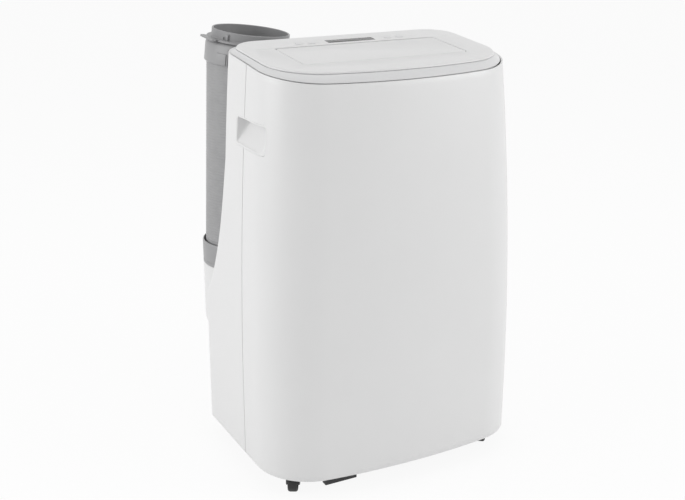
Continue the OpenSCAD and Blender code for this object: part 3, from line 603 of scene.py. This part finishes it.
def makeRearShell():
    obj = sheet("rearShell", 100, 70, rearSpot)
    modify(obj, "SOLIDIFY", thickness=casing["wall"], offset=-1, use_even_offset=True)
    for side in (-1, 1):
        cut(obj, gripCutter(side))
    cut(obj, openingCutter("upper_grille"))
    cut(obj, openingCutter("lower_grille"))
    cut(obj, turned("podCutter", podOutline(shared["fit"], casing["collarZ"] - podLow.z + 0.001),
                    hosePlace(podLow.z), 128))
    cut(obj, postCutter(podRadius + casing["wall"] + shared["fit"], casing["collarZ"] - 0.0035, stepTopZ))
    bevelEdges(obj, shared["edge"], 2, 50)
    smooth(obj)
    finishPiece(obj, casingWhite, "root", "casing_white", "rear_housing")


def fillHoles(obj):
    pick(obj)
    bpy.ops.object.mode_set(mode="EDIT")
    bpy.ops.mesh.select_all(action="SELECT")
    bpy.ops.mesh.fill_holes(sides=0)
    bpy.ops.mesh.normals_make_consistent(inside=False)
    bpy.ops.object.mode_set(mode="OBJECT")


def makeGrips():
    for side, node in ((-1, "handle_left"), (1, "handle_right")):
        z0, z1 = grip["low"].z - 0.02, grip["high"].z + 0.02
        rings = [lambda share, z=z0 + (z1 - z0) * i / 6: (*planPoint(z, 0.0001, share), z) for i in range(7)]
        obj = loftRings("gripPocket" + ("Left" if side < 0 else "Right"), 240, rings, closed=False)
        fillHoles(obj)
        cut(obj, gripWedge(side, grip["liner"], 0, grip["edge"]), operation="INTERSECT")
        cut(obj, gripWedge(side, 0, grip["liner"], grip["round"] - grip["liner"]))
        bevelEdges(obj, 0.0009, 3, 50)
        smooth(obj)
        finishPiece(obj, casingWhite, "root", "casing_white", node)


makeFrontShell()
makeRearShell()
makeGrips()
print("casing shells made")


# ---- top: band, deck, vane, display, keys ----

top = {
    "deckThick": 0.0035, "roll": 0.0022, "outletWidth": 0.308, "outletDepth": 0.118, "outletBack": 0.075,
    "outletRound": 0.007, "vaneGap": 0.0015, "groove": 0.0006, "lineHalf": 0.0005, "lineEnd": 0.187,
    "hingeIn": 0.007, "hingeBelow": 0.006, "displayBack": 0.01, "keyHole": 0.0073,
}
displayLow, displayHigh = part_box("display_window")
top["displayWidth"] = displayHigh.x - displayLow.x + 0.0006
# The window's box is that of a thin tilted plate: its length along the deck comes from its two sides
top["displayDepth"] = (displayHigh.y - displayLow.y - 0.002 * math.sin(casing["slope"])) / math.cos(
    casing["slope"]) + 0.0006
deckMatrix = Matrix.Translation((0, rearTopY, casing["topZ"])) @ Matrix.Rotation(casing["slope"], 4, "X")


def bandRing(inset, rise, base):
    def point(share):
        x, y = planPoint(casing["topZ"], inset, share)
        return x, y, (deckAt(y) if base == "deck" else shellTop(y)) + rise
    return point


def makeBand():
    inner = casing["deckInset"] + 0.006
    thick = top["deckThick"]
    crown = []
    steps = 8
    for i in range(steps + 1):
        mix = i / steps

        def ring(share, mix=mix):
            x0, y0 = planPoint(casing["topZ"], 0.0012, share)
            x1, y1 = planPoint(casing["topZ"], casing["deckInset"] - 0.0012, share)
            low, high = shellTop(y0) + 0.0008, deckAt(y1) - thick - 0.0005
            # Hollow along the sides, where it reads as a shadow line, and a full slope in front
            full = 0.12 + 0.5 * min(1, max(0, -y0) / 0.15) ** 2
            sine, cosine = math.sin(mix * quarterTurn), 1 - math.cos(mix * quarterTurn)
            across, up = sine + (cosine - sine) * full, cosine + (sine - cosine) * full
            return x0 + (x1 - x0) * across, y0 + (y1 - y0) * across, low + (high - low) * up
        crown.append(ring)
    rings = [bandRing(0.0035, -0.008, "shell"), bandRing(0.0035, 0.0001, "shell"),
             bandRing(0.0018, 0.0001, "shell")] + crown + [
        bandRing(inner, -thick - 0.0005, "deck"), bandRing(inner, -thick - 0.0025, "deck"),
        bandRing(0.0065, -0.0025, "shell"), bandRing(0.0065, -0.008, "shell")]
    obj = loftRings("bandRing", 320, rings)
    fixNormals(obj)
    smooth(obj, math.radians(40))
    finishPiece(obj, bandSilver, "root", "trim_silver", "trim_ring")


def deckRing(inset, drop):
    # A ring of the deck in the deck's own tilted frame
    def point(share):
        x, y = planPoint(casing["topZ"], inset, share)
        return x, (y - rearTopY) / math.cos(casing["slope"]), -drop
    return point


def makeDeck():
    inset, thick, roll = casing["deckInset"], top["deckThick"], top["roll"]
    rings = [deckRing(inset + 0.006, thick), deckRing(inset + 0.0008, thick), deckRing(inset, thick - 0.0006)]
    for i in range(6):
        turn = quarterTurn * i / 5
        rings.append(deckRing(inset + roll * (1 - math.cos(turn)), roll * (1 - math.sin(turn))))
    rings.append(deckRing(inset + 0.006, 0))
    obj = loftRings("deckLid", 320, rings, closed=False)
    fillHoles(obj)
    w, back, deep = top["outletWidth"] / 2, -top["outletBack"], top["outletDepth"]
    cut(obj, block("outletCutter", (-w, back - deep, -0.02), (w, back, 0.02), top["outletRound"], "z"))
    dy = displayY()
    cut(obj, block("displayCutter", (-top["displayWidth"] / 2, dy - top["displayDepth"] / 2, -0.002),
                   (top["displayWidth"] / 2, dy + top["displayDepth"] / 2, 0.02), 0.0022, "z"))
    for x in keyPlaces:
        cut(obj, postCutter(top["keyHole"], -0.02, 0.02, Vector((x, dy, 0))))
    # The shallow line that parts the control strip from the rest of the deck
    line = top["lineHalf"]
    for side in (-1, 1):
        x0, x1 = sorted((side * (w + line), side * top["lineEnd"]))
        cut(obj, block("lineCutter", (x0, back - line, -top["groove"]), (x1, back + line, 0.01)))
    bevelEdges(obj, 0.0005, 2, 50)
    smooth(obj)
    place(obj, deckMatrix)
    finishPiece(obj, deckWhite, "root", "deck_white", "top_deck")


def displayY():
    return -top["outletBack"] + top["displayBack"] + top["displayDepth"] / 2


keyPlaces = (-0.098, -0.074, 0.074, 0.098)


def makeVane():
    w, back, deep, gap = top["outletWidth"] / 2, -top["outletBack"], top["outletDepth"], top["vaneGap"]
    hingeY = back - top["hingeIn"]
    hingeAxis = Matrix.Translation((0, hingeY, -top["hingeBelow"])) @ alongX
    thick = top["deckThick"]
    obj = block("vaneLid", (-w + gap, back - deep + gap, -thick), (w - gap, hingeY + 0.0025, 0),
                top["outletRound"] - 0.0005, "z")
    bevelEdges(obj, 0.0009, 3, 50)
    parts = [obj]
    for share in (0.35, 0.65, 0.9):
        y = back - deep * share
        rib = block("rib", (-w + gap + 0.02, y, -thick - 0.002), (w - gap - 0.02, y + 0.002, -thick + 0.0005))
        parts.append(rib)
    for side in (-1, 1):
        low, high = sorted((side * (w - gap), side * (w - gap - 0.014)))
        parts.append(turned("knuckle", [(0.0018, low), (0.004, low), (0.004, high), (0.0018, high)],
                            hingeAxis, 32))
        low, high = sorted((side * (w - 0.01), side * (w + 0.005)))
        parts.append(turned("pin", [(0.0004, low), (0.0019, low), (0.0019, high), (0.0004, high)],
                            hingeAxis, 24))
    obj = join("vaneLid", parts)
    smooth(obj)
    place(obj, deckMatrix)
    finishPiece(obj, deckWhite, "vane", "deck_white", "vane")


def makeDisplay():
    w, d, y = top["displayWidth"] / 2 - 0.0003, top["displayDepth"] / 2 - 0.0003, displayY()
    obj = block("displayGlass", (-w, y - d, -0.0019), (w, y + d, -0.0001), 0.002, "z")
    bevelEdges(obj, 0.0003, 2, 50)
    smooth(obj)
    place(obj, deckMatrix)
    finishPiece(obj, displayGlass, "root", "display_black", "display_window")


def makeKeys():
    dish = [(0.0005, -0.0025), (0.0068, -0.0025), (0.007, -0.0022), (0.007, 0.0003), (0.0066, 0.0007),
            (0.0058, 0.0008), (0.003, 0.0005), (0.0005, 0.0004)]
    for i, x in enumerate(keyPlaces, 1):
        obj = turned("keyCap_%d" % i, dish, Matrix.Translation((x, displayY(), 0)), 48, closed=False)
        fillHoles(obj)
        smooth(obj)
        place(obj, deckMatrix)
        finishPiece(obj, keyWhite, "key_%d" % i, "key_grey", "key_%d" % i)


makeBand()
makeDeck()
makeVane()
makeDisplay()
makeKeys()
print("top made")


# ---- hose, collar, adaptor and flange ----

hose = {
    "radius": 0.075, "pitch": 0.005, "depth": 0.0013, "lean": math.radians(2.5), "film": 0.0008,
    "seat": 0.0063, "room": 0.002, "endZ": 0.709, "heldTop": 0.012,
    "adaptorZ": 0.691, "sleeve": 0.039, "tiltX": math.radians(3), "tiltY": math.radians(6),
    "padStart": math.radians(30),
}
hose["startZ"] = casing["collarZ"] + hose["seat"] + hose["radius"] * math.tan(hose["lean"])
adaptorBase = Vector((hoseCentre.x + (hose["adaptorZ"] - casing["collarZ"]) * math.tan(hose["lean"]),
                      hoseCentre.y, hose["adaptorZ"]))
adaptorMatrix = (Matrix.Translation(adaptorBase) @ Matrix.Rotation(hose["tiltY"], 4, "Y")
                 @ Matrix.Rotation(hose["tiltX"], 4, "X"))


def makeHose():
    length = hose["endZ"] - hose["startZ"]
    count = round(length / hose["pitch"])
    step = length / count
    r, d = hose["radius"], hose["depth"]
    crest = r - 0.0002
    profile = [(r - d, 0)]
    for i in range(count):
        profile += [(crest, (i + 0.3) * step), (crest, (i + 0.55) * step), (r - d, (i + 0.95) * step)]
    matrix = hosePlace(hose["startZ"]) @ Matrix.Rotation(hose["lean"], 4, "Y")
    obj = turned("ductHose", profile, matrix, 96, closed=False)
    modify(obj, "SOLIDIFY", thickness=hose["film"], offset=-1)
    smooth(obj, math.radians(80))
    obj.data.materials.clear()
    obj.data.materials.append(ductFilm)
    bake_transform(obj, "root", "adaptor", start=(hoseCentre.x, hoseCentre.y, hose["startZ"]),
             end=(hoseCentre.x, hoseCentre.y, hose["endZ"] - hose["heldTop"]))
    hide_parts("exhaust_hose")


def makeCollar():
    r, h, z = podRadius, collarHigh.z - collarLow.z, casing["collarZ"]
    inside = hose["radius"] + hose["room"]
    profile = [(r - 0.008, 0), (r - 0.0008, 0), (r, 0.0008), (r, 0.0055), (r - 0.0009, 0.0062),
               (r - 0.0009, 0.0074), (r, 0.0081), (r, h - 0.003), (r - 0.0008, h - 0.0011), (r - 0.0017, h),
               (inside + 0.0002, h), (inside, h - 0.0008), (inside, 0.006), (r - 0.008, 0.006)]
    obj = turned("hoseCollar", profile, hosePlace(z), 128)
    bevelEdges(obj, 0.0003, 2, 50)
    smooth(obj)
    finishPiece(obj, collarGrey, "root", "collar_grey", "hose_collar")


def makeAdaptor():
    r, h = podRadius, hose["sleeve"]
    inside = hose["radius"] + hose["room"]
    profile = [(inside, 0.0006), (inside + 0.0006, 0), (r - 0.0008, 0), (r, 0.0008), (r, h - 0.008),
               (r - 0.0012, h - 0.004), (r - 0.004, h - 0.0012), (r - 0.0075, h), (inside - 0.0035, h),
               (inside - 0.0035, h - 0.003), (inside, h - 0.003)]
    sleeve = turned("sleeve", profile, steps=128)
    parts = [sleeve]
    for quarter in range(4):
        turn = Matrix.Rotation(hose["padStart"] + quarterTurn * quarter, 4, "Z")
        pad = block("pad", (inside + 0.001, -0.0105, 0.001), (r + 0.0014, 0.0105, 0.021))
        bevelEdges(pad, 0.0009, 3, 50)
        place(pad, turn)
        rib = block("rib", (inside + 0.001, 0.0125, 0.0005), (r + 0.001, 0.0145, h - 0.009))
        bevelEdges(rib, 0.0005, 2, 50)
        place(rib, turn)
        parts += [pad, rib]
    obj = join("adaptorSleeve", parts)
    smooth(obj)
    place(obj, adaptorMatrix)
    finishPiece(obj, collarGrey, "adaptor", "collar_grey", "hose_adaptor")


flange = {"rim": 0.004, "tall": 0.015, "spigot": 0.07, "set": 0.001, "tabReach": 0.007, "tabHalf": 0.03}


def makeFlange():
    z, rim, tall, spigot = hose["sleeve"] + shared["fit"], flange["rim"], flange["tall"], flange["spigot"]
    r, lip = podRadius - flange["set"], rim + tall
    profile = [(spigot - 0.003, 0), (r - 0.0006, 0), (r, 0.0006), (r, rim - 0.0006), (r - 0.0006, rim),
               (spigot + 0.0012, rim), (spigot, rim + 0.0012), (spigot, lip - 0.0008),
               (spigot - 0.0008, lip), (spigot - 0.0022, lip), (spigot - 0.003, lip - 0.0008)]
    obj = turned("windowFlange", [(a, b + z) for a, b in profile], steps=128)
    parts = [obj]
    for turn in (-62, 28, 118, 208):
        # A blind bayonet slot in the spigot and the lug beside it
        slot = block("slotCutter", (spigot - 0.0016, -0.004, z + rim + 0.0006),
                     (spigot + 0.004, 0.003, z + rim + 0.0052), 0.0008, "x")
        place(slot, Matrix.Rotation(math.radians(turn), 4, "Z"))
        cut(obj, slot)
        lug = block("lug", (spigot - 0.001, 0.0045, z + rim - 0.0005),
                    (spigot + 0.0034, 0.008, z + rim + tall - 0.004))
        bevelEdges(lug, 0.0006, 2, 50)
        place(lug, Matrix.Rotation(math.radians(turn), 4, "Z"))
        parts.append(lug)
    for side in (-1, 1):
        x0, x1 = sorted((side * (r - 0.004), side * (r + flange["tabReach"])))
        tab = block("tab", (x0, -flange["tabHalf"], z + 0.0004), (x1, flange["tabHalf"], z + rim - 0.0004),
                    0.0045, "z")
        bevelEdges(tab, 0.0006, 2, 50)
        parts.append(tab)
    obj = join("windowFlange", parts)
    bevelEdges(obj, 0.0002, 1, 60)
    smooth(obj)
    place(obj, adaptorMatrix)
    finishPiece(obj, flangeGrey, "adaptor", "flange_grey", "window_flange")


makeHose()
makeCollar()
makeAdaptor()
makeFlange()
print("hose made")


# ---- rear: pod, grilles ----

def makePod():
    low, high, r, wall = podLow.z, casing["collarZ"], podRadius, casing["wall"]
    roundR = pod["round"]
    deep = high - low
    rimIn, lip, within = r - 0.01, deep - 0.0001, r - wall
    outside = podOutline(0, deep)[:-2] + [(r, deep - 0.0008), (r - 0.0008, lip), (rimIn, lip),
                                          (rimIn, deep - wall)]
    inside = [(within, deep - wall), (within, roundR), (within - 0.01, 0.0135), (r - roundR, wall),
              (0.002, wall)]
    obj = turned("exhaustPod", outside + inside, hosePlace(low), 160)
    cut(obj, block("windowCutter", (hoseCentre.x - 0.052, hoseCentre.y - r - 0.001, low + 0.024),
                   (hoseCentre.x + 0.052, hoseCentre.y - 0.05, high - 0.024)))
    # Curved wall behind the hose, flush with the housing
    tall, near = stepTopZ - high + pod["lap"], r + shared["fit"]
    arch = turned("arch", [(r + wall, 0), (r + wall, tall), (near, tall), (near, 0)],
                  hosePlace(high - pod["lap"]), 160)
    levels = [high - 0.01 + 0.25 * i / 30 for i in range(31)]
    rings = [lambda share, z=z: (*planPoint(z, shared["fit"], share), z) for z in levels]
    shaper = loftRings("shaper", 240, rings, closed=False)
    fillHoles(shaper)
    cut(arch, shaper, operation="INTERSECT")
    obj = join("exhaustPod", [obj, arch])
    smooth(obj)
    finishPiece(obj, casingWhite, "root", "casing_white", "exhaust_shroud")


grille = {"rim": 0.01, "pitch": 0.012, "bars": 3, "tip": math.radians(-32)}


def makeGrille(name, node, body):
    low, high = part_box(node)
    thick, rim, pitch, bars = casing["wall"], grille["rim"], grille["pitch"], grille["bars"]
    outer = block(name, (low.x, high.y - thick - 0.001, low.z), (high.x, high.y, high.z), 0.004, "y")
    cut(outer, block("cutter", (low.x + rim, low.y - 0.01, low.z + rim),
                     (high.x - rim, high.y + 0.01, high.z - rim), 0.003, "y"))
    bevelEdges(outer, 0.0005, 2, 50)
    slats = max(2, math.floor((high.z - low.z - 2 * rim) / pitch))
    first = (low.z + high.z - slats * pitch) / 2
    parts = [outer]
    blade = block("blade", (low.x + rim - 0.001, -0.0022, -0.0009), (high.x - rim + 0.001, 0.0022, 0.0009))
    bevelEdges(blade, 0.0006, 2, 50)
    place(blade, Matrix.Rotation(grille["tip"], 4, "X"))
    bladeY = high.y - thick / 2 - 0.0006
    for i in range(1, slats):
        parts.append(copyOf(blade, "slat", Matrix.Translation((0, bladeY, first + i * pitch))))
    bpy.data.objects.remove(blade)
    for i in range(1, bars + 1):
        x = low.x + (high.x - low.x) * i / (bars + 1)
        bar = block("bar", (x - 0.0012, high.y - thick - 0.0008, low.z + rim - 0.001),
                    (x + 0.0012, high.y - thick + 0.0006, high.z - rim + 0.001))
        parts.append(bar)
    obj = join(name, parts)
    smooth(obj)
    finishPiece(obj, casingWhite, body, "casing_white", node)


makePod()
makeGrille("upperIntake", "upper_grille", "upper_filter")
makeGrille("lowerIntake", "lower_grille", "lower_filter")
print("rear made")


# ---- casters ----

caster = {"wheelR": 0.019, "wheelW": 0.017, "trail": 0.012, "cheek": 0.003, "cheekHalf": 0.0078}
stems, stemPlaces = [], {}
for joint in frame["joints"]:
    if joint["name"].startswith("wheel_"):
        stems.append((Vector(joint["pos_m"]), Vector(joint["axis"])))
    if joint["name"].startswith("caster_"):
        stemPlaces[int(joint["name"].split("_")[1])] = Vector(joint["pos_m"])


def makeFork(i, centre, axis):
    # A hood over a rounded pair of cheeks, with the stem above and the axle through both
    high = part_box("caster_fork_%d" % i)[1]
    cheek, side, crown = caster["cheek"], caster["wheelW"] / 2 + 0.0005, 2 * caster["wheelR"] + 0.006
    trail, half = caster["trail"], caster["cheekHalf"]
    atAxle = Vector((0, trail, caster["wheelR"]))
    parts = []
    for x in (-side - cheek, side):
        plate = block("cheek", (x, trail - half, 0.0145), (x + cheek, trail + half, crown - 0.004))
        pick(plate)
        for vert in plate.data.vertices:
            if vert.co.z > 0.03:
                vert.co.y = 0.012 if vert.co.y > trail else -0.008
        bevelEdges(plate, 0.0012, 3, 30)
        parts.append(plate)
        boss = [(0.0031, 0), (0.0068, 0), (0.0072, 0.0004), (0.0072, cheek - 0.0004), (0.0068, cheek),
                (0.0031, cheek)]
        parts.append(turned("boss", boss, Matrix.Translation(atAxle + Vector((x, 0, 0))) @ alongX, 40))
    hood = [(0.001, crown - 0.0042), (0.0142, crown - 0.0042), (0.015, crown - 0.0034),
            (0.015, crown - 0.001), (0.0138, crown), (0.0052, crown), (0.0049, crown + 0.0006),
            (0.0049, high.z - 0.001), (0.004, high.z), (0.001, high.z)]
    parts.append(turned("hood", hood, steps=56))
    reach = side + cheek
    axle = [(0.0004, -reach), (0.0024, -reach), (0.0029, -reach + 0.0006), (0.0029, reach - 0.0006),
            (0.0024, reach), (0.0004, reach)]
    parts.append(turned("axle", axle, Matrix.Translation(atAxle) @ alongX, 32))
    obj = join("casterFork_%d" % i, parts)
    smooth(obj)
    # The fork is drawn with its wheel towards +Y and its axle along X, then swung to its resting turn
    across = Vector((axis.x, axis.y, 0)).normalized()
    back = Vector((-across.y, across.x, 0))
    pivot = stemPlaces[i]
    if (centre - pivot).dot(back) < 0:
        across, back = -across, -back
    turn = Matrix((across, back, Vector((0, 0, 1)))).transposed().to_4x4()
    place(obj, Matrix.Translation((pivot.x, pivot.y, 0)) @ turn)
    finishPiece(obj, casterGrey, "caster_%d" % i, "caster_grey", "caster_fork_%d" % i)


def makeCasters():
    r, w = caster["wheelR"], caster["wheelW"] / 2
    tread = [(0.0031, -w + 0.001), (0.0075, -w + 0.0005), (0.0078, -w + 0.003), (r - 0.0075, -w + 0.004),
             (r - 0.0055, -w + 0.0005), (r - 0.0025, -w), (r - 0.0006, -w + 0.0016), (r, -w + 0.004),
             (r, w - 0.004), (r - 0.0006, w - 0.0016), (r - 0.0025, w), (r - 0.0055, w - 0.0005),
             (r - 0.0075, w - 0.004),
             (0.0078, w - 0.003), (0.0075, w - 0.0005), (0.0031, w - 0.001)]
    for i, (centre, axis) in enumerate(stems, 1):
        turn = axis.to_track_quat("Z", "Y").to_matrix().to_4x4()
        wheel = turned("casterWheel_%d" % i, tread, Matrix.Translation(centre) @ turn, 64)
        smooth(wheel)
        finishPiece(wheel, wheelBlack, "wheel_%d" % i, "caster_black", "caster_wheel_%d" % i)
        makeFork(i, centre, axis)


makeCasters()
print("casters made")


# ---- finishes of the parts that keep their shape ----

finishes = {
    "base_pan": blackPlastic, "display_board": circuitGreen, "evaporator_coil": coilAluminium,
    "condenser_coil": coilAluminium, "heat_sink": coilAluminium, "partition": innerWhite,
    "upper_scroll": innerWhite, "lower_scroll": innerWhite, "exhaust_duct": innerWhite,
    "louver_1": innerWhite, "louver_2": innerWhite, "louver_3": innerWhite, "louver_link": fanGrey,
    "upper_blower": fanGrey, "lower_blower": fanGrey, "upper_motor": motorSteel, "lower_motor": motorSteel,
    "vane_motor": motorSteel, "control_box": motorSteel, "compressor": compressorBlack,
    "accumulator": compressorBlack, "compressor_feet": wheelBlack, "suction_pipe": copper,
    "discharge_pipe": copper, "cord_gland": blackPlastic, "drain_barb": casingWhite, "drain_plug": plugGrey,
    "casing_screws": screwSteel, "upper_filter": filterMesh, "lower_filter": filterMesh,
}
for name, material in finishes.items():
    nodes[name].data.materials.clear()
    nodes[name].data.materials.append(material)


# ---- studio ----

studio = {
    "world": 0.5, "floorLift": 0.92,
    "lamps": {"sideLamp": ((-3.0, 0.35, 1.5), 2.0, 37), "frontLamp": ((2.5, -2.6, 1.6), 1.8, 46),
              "topLamp": ((0.2, 0.2, 3.2), 2.4, 12)},
    "eye": (-0.9030, -1.7093, 1.0115), "look": (0.43573, 0.84112, -0.32039), "lens": 58.2,
    "sensor": 36, "aim": (0, 0, 0.38),
}


def cameraSees(tree):
    # 1 for what the camera sees straight, in a gloss or through glass, and 0 for light on the object
    path = tree.nodes.new("ShaderNodeLightPath")
    total = path.outputs["Is Camera Ray"]
    for ray in ("Is Glossy Ray", "Is Transmission Ray"):
        more = tree.nodes.new("ShaderNodeMath")
        more.operation = "MAXIMUM"
        tree.links.new(total, more.inputs[0])
        tree.links.new(path.outputs[ray], more.inputs[1])
        total = more.outputs[0]
    return total


def makeFloor():
    deselectAll()
    bpy.ops.mesh.primitive_plane_add(size=30, location=(0, 0, 0))
    floor = named("floor")
    mat, tree, shader = newMaterial("floorWhite", (0.9, 0.9, 0.9), 0.9)
    seen = cameraSees(tree)
    lift, mix = tree.nodes.new("ShaderNodeEmission"), tree.nodes.new("ShaderNodeMixShader")
    lift.inputs["Color"].default_value = (1, 1, 1, 1)
    share = tree.nodes.new("ShaderNodeMath")
    share.operation = "MULTIPLY"
    share.inputs[1].default_value = studio["floorLift"]
    tree.links.new(seen, share.inputs[0])
    tree.links.new(share.outputs[0], mix.inputs["Fac"])
    tree.links.new(shader.outputs[0], mix.inputs[1])
    tree.links.new(lift.outputs[0], mix.inputs[2])
    tree.links.new(mix.outputs[0], tree.nodes["Material Output"].inputs["Surface"])
    floor.data.materials.append(mat)


def makeWorld():
    world = bpy.data.worlds.new("studio")
    bpy.context.scene.world = world
    world.use_nodes = True
    tree = world.node_tree
    tree.nodes.clear()
    light, back = tree.nodes.new("ShaderNodeBackground"), tree.nodes.new("ShaderNodeBackground")
    light.inputs["Color"].default_value = (1, 1, 1, 1)
    light.inputs["Strength"].default_value = studio["world"]
    back.inputs["Strength"].default_value = 1.0
    back.inputs["Color"].default_value = (1, 1, 1, 1)
    mix, out = tree.nodes.new("ShaderNodeMixShader"), tree.nodes.new("ShaderNodeOutputWorld")
    tree.links.new(cameraSees(tree), mix.inputs["Fac"])
    tree.links.new(light.outputs[0], mix.inputs[1])
    tree.links.new(back.outputs[0], mix.inputs[2])
    tree.links.new(mix.outputs[0], out.inputs["Surface"])


def makeLamps():
    for name, (spot, size, power) in studio["lamps"].items():
        data = bpy.data.lights.new(name, "AREA")
        data.size, data.energy = size, power
        lamp = bpy.data.objects.new(name, data)
        bpy.context.scene.collection.objects.link(lamp)
        lamp.location = spot
        lamp.rotation_euler = (Vector(studio["aim"]) - Vector(spot)).to_track_quat("-Z", "Y").to_euler()


def makeCamera():
    data = bpy.data.cameras.new("camera")
    cam = bpy.data.objects.new("camera", data)
    bpy.context.scene.collection.objects.link(cam)
    data.lens, data.sensor_width = studio["lens"], studio["sensor"]
    cam.location = studio["eye"]
    cam.rotation_euler = Vector(studio["look"]).to_track_quat("-Z", "Y").to_euler()
    bpy.context.scene.camera = cam


makeFloor()
makeWorld()
makeLamps()
makeCamera()
bpy.context.scene.view_settings.view_transform = "Standard"
print("studio ready")
